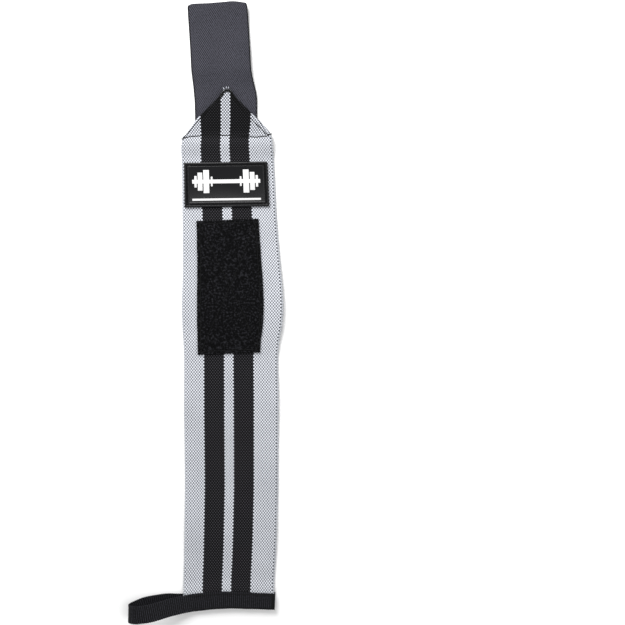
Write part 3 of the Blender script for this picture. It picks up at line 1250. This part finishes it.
class WRAP_OT_ribbon(Operator):
    """Build the ribbed ribbon that binds the lower end and makes the thumb loop"""

    bl_idname = "wrap.ribbon"
    bl_label = "Thumb loop"

    def execute(self, context):
        pitch = context.scene.wrap_cloth.rib_pitch / MILLIMETRE
        middle, run = ribbon_route(901)
        middle[:, 2] = np.maximum(middle[:, 2], RIBBON_THICKNESS / 2)
        tangent = np.gradient(middle, axis=0)
        tangent /= np.linalg.norm(tangent, axis=1)[:, None]
        width = np.array((0, 1.0, 0)) - tangent * tangent[:, 1:2]
        width[:, 2] = 0
        width /= np.linalg.norm(width, axis=1)[:, None]
        normal = np.cross(width, tangent)
        normal /= np.linalg.norm(normal, axis=1)[:, None]
        sides = edge_steps(RIBBON_WIDTH, 8, (0, 0.1, 0.3, 0.6, 1.0)) - RIBBON_WIDTH / 2
        side, far = np.meshgrid(sides, run)
        edge = RIBBON_WIDTH / 2 - np.abs(side)
        rib = np.cos(2 * math.pi * far / pitch)
        wander = RIBBON_WANDER * np.sin(far / RIBBON_WANDER_LENGTH) * np.abs(side) / RIBBON_WIDTH
        uneven = RIB_BULGE * rib * np.clip(1 - edge, 0, 1) + wander
        half = RIBBON_THICKNESS / 2 * edge_roundness(edge, RIBBON_EDGE_RADIUS) + RIB_RELIEF * (rib - 1)
        narrow = 1 - RIBBON_TAPER * np.clip(1 - far / RIBBON_TAPER_LENGTH, 0, 1)
        reach = (side * narrow + np.sign(side) * uneven)[..., None] * width[:, None, :]
        outer = middle[:, None, :] + reach + half[..., None] * normal[:, None, :]
        inner = middle[:, None, :] + reach - half[..., None] * normal[:, None, :]
        flat = np.stack((side + RIBBON_WIDTH / 2, far), axis=-1)
        ribbon = cloth_object("thumb_loop_ribbon", outer, inner, flat, ribbed_ribbon())
        finish_piece(ribbon, "black_elastic_ribbon", "thumb_loop")
        return {"FINISHED"}


def tack_strokes(route, width, pitch, height):
    """A bar tack's strokes along a route: each runs slanting across it and dips in at both ends."""
    route = np.array(route, float)
    run = np.concatenate(([0], np.cumsum(np.linalg.norm(np.diff(route, axis=0), axis=1))))
    at = np.linspace(0, run[-1], max(4, int(run[-1] / pitch)))
    x, y = (np.interp(at, run, route[:, k]) for k in range(2))
    way = np.stack((np.gradient(x), np.gradient(y)))
    way /= np.linalg.norm(way, axis=0)
    strokes = []
    for k in range(len(at)):
        swing = np.linspace(-0.5, 0.5, 7)
        slant = pitch * swing * (-1) ** k
        reach = width * swing
        strokes.append(np.stack((
            x[k] - way[1, k] * reach + way[0, k] * slant, y[k] + way[0, k] * reach + way[1, k] * slant,
            height - TACK_DIP * np.abs(swing) ** 2.5), axis=-1))
    return strokes


class WRAP_OT_seams(Operator):
    """Sew the seams, the bar tacks and the loose thread ends"""

    bl_idname = "wrap.seams"
    bl_label = "Seams"

    def execute(self, context):
        sizes = context.scene.wrap_cloth
        colours = context.scene.wrap_colours
        black = spun_thread("Spun thread black", colours.thread_black)
        pale = spun_thread("Spun thread pale", colours.thread_pale)
        lines = []
        for seam, _, depth in POINT_SEAMS:
            lines.append([(x, y, POINT_TOP - depth) for x, y in seam])
        frame_line = label_ring(LABEL_SEAM_INSET)
        frame_line = np.concatenate((frame_line, frame_line[:1]))
        lines.append(on_sewn_piece(
            frame_line[:, 0], frame_line[:, 1], LABEL_PLACE, LABEL_THICKNESS - LABEL_STITCH_DEPTH))
        thickness = PANEL_THICKNESS - sizes.pile_height / MILLIMETRE
        for seam in panel_seams():
            stretches = zip(np.array(seam[:-1]), np.array(seam[1:]))
            places = np.concatenate([np.linspace(a, b, 12)[:-1] for a, b in stretches] + [[seam[-1]]])
            lines.append(on_sewn_piece(
                places[:, 0], places[:, 1], PANEL_PLACE, thickness - PANEL_STITCH_DEPTH))
        acrosses = np.linspace(-RIBBON_SEAM_REACH, RIBBON_SEAM_REACH, 30)
        for along in (RIBBON_SEAM_INSETS[0], RIBBON_WIDTH - RIBBON_SEAM_INSETS[1]):
            row = on_band(acrosses * BAND_WIDTH, along, 0)
            row[:, 2] = FRONT_RUN_LEVEL + RIBBON_THICKNESS
            lines.append(row)
        seams = grown_object("seam_stitches", lines, stitch_tree(black), {
            "Stitch pitch": sizes.stitch_pitch, "Stitch length": sizes.stitch_length,
            "Thread thickness": sizes.thread_thickness})
        finish_piece(seams, "black_elastic_ribbon")

        top = FRONT_RUN_LEVEL + RIBBON_THICKNESS + END_TACK_LIFT
        tacks = [stroke for route in END_TACKS for stroke in tack_strokes(route, *END_TACK_STROKE, top)]
        tacks += tack_strokes(TIP_TACK, *TIP_TACK_STROKE, POINT_TOP + TIP_TACK_LIFT)
        thin = {"Thread thickness": TACK_THREAD * MILLIMETRE}
        bars = grown_object("bar_tacks", tacks, tack_tree(black), thin)
        finish_piece(bars, "black_elastic_ribbon")
        ends = []
        for (x, y), (end_x, end_y) in THREAD_ENDS:
            share = np.linspace(0, 1, 7)
            ends.append(np.stack((
                x + (end_x - x) * share, y + (end_y - y) * share,
                POINT_TOP + THREAD_END_LIFT - THREAD_END_FALL * share ** 1.5), axis=-1))
        loose = grown_object("thread_ends", ends, tack_tree(pale), thin)
        finish_piece(loose, "striped_elastic_webbing")
        return {"FINISHED"}


class WRAP_PT_panel(Panel):
    """Lists the wrap's pieces in the sidebar"""

    bl_label = "Wrist Wrap"
    bl_idname = "WRAP_PT_panel"
    bl_space_type = "VIEW_3D"
    bl_region_type = "UI"
    bl_category = "Wrist Wrap"

    def draw(self, context):
        layout = self.layout
        for maker in MAKERS:
            layout.operator(maker.bl_idname)
        for group in (context.scene.wrap_cloth, context.scene.wrap_colours, context.scene.wrap_stage):
            box = layout.box()
            for name in group.bl_rna.properties.keys():
                if name not in {"rna_type", "name"}:
                    box.prop(group, name)


MAKERS = (
    WRAP_OT_stage, WRAP_OT_band, WRAP_OT_tab, WRAP_OT_panel, WRAP_OT_label, WRAP_OT_ribbon, WRAP_OT_seams,
)
CLASSES = (WrapClothSettings, WrapColourSettings, WrapStageSettings, *MAKERS, WRAP_PT_panel)


def register():
    for item in CLASSES:
        bpy.utils.register_class(item)
    bpy.types.Scene.wrap_cloth = PointerProperty(type=WrapClothSettings)
    bpy.types.Scene.wrap_colours = PointerProperty(type=WrapColourSettings)
    bpy.types.Scene.wrap_stage = PointerProperty(type=WrapStageSettings)


def unregister():
    for name in ("wrap_cloth", "wrap_colours", "wrap_stage"):
        delattr(bpy.types.Scene, name)
    for item in reversed(CLASSES):
        bpy.utils.unregister_class(item)


def main():
    register()
    bpy.ops.wrap.stage()
    bpy.ops.wrap.band()
    bpy.ops.wrap.tab()
    bpy.ops.wrap.panel()
    bpy.ops.wrap.label()
    bpy.ops.wrap.ribbon()
    bpy.ops.wrap.seams()


if __name__ == "__main__":
    main()
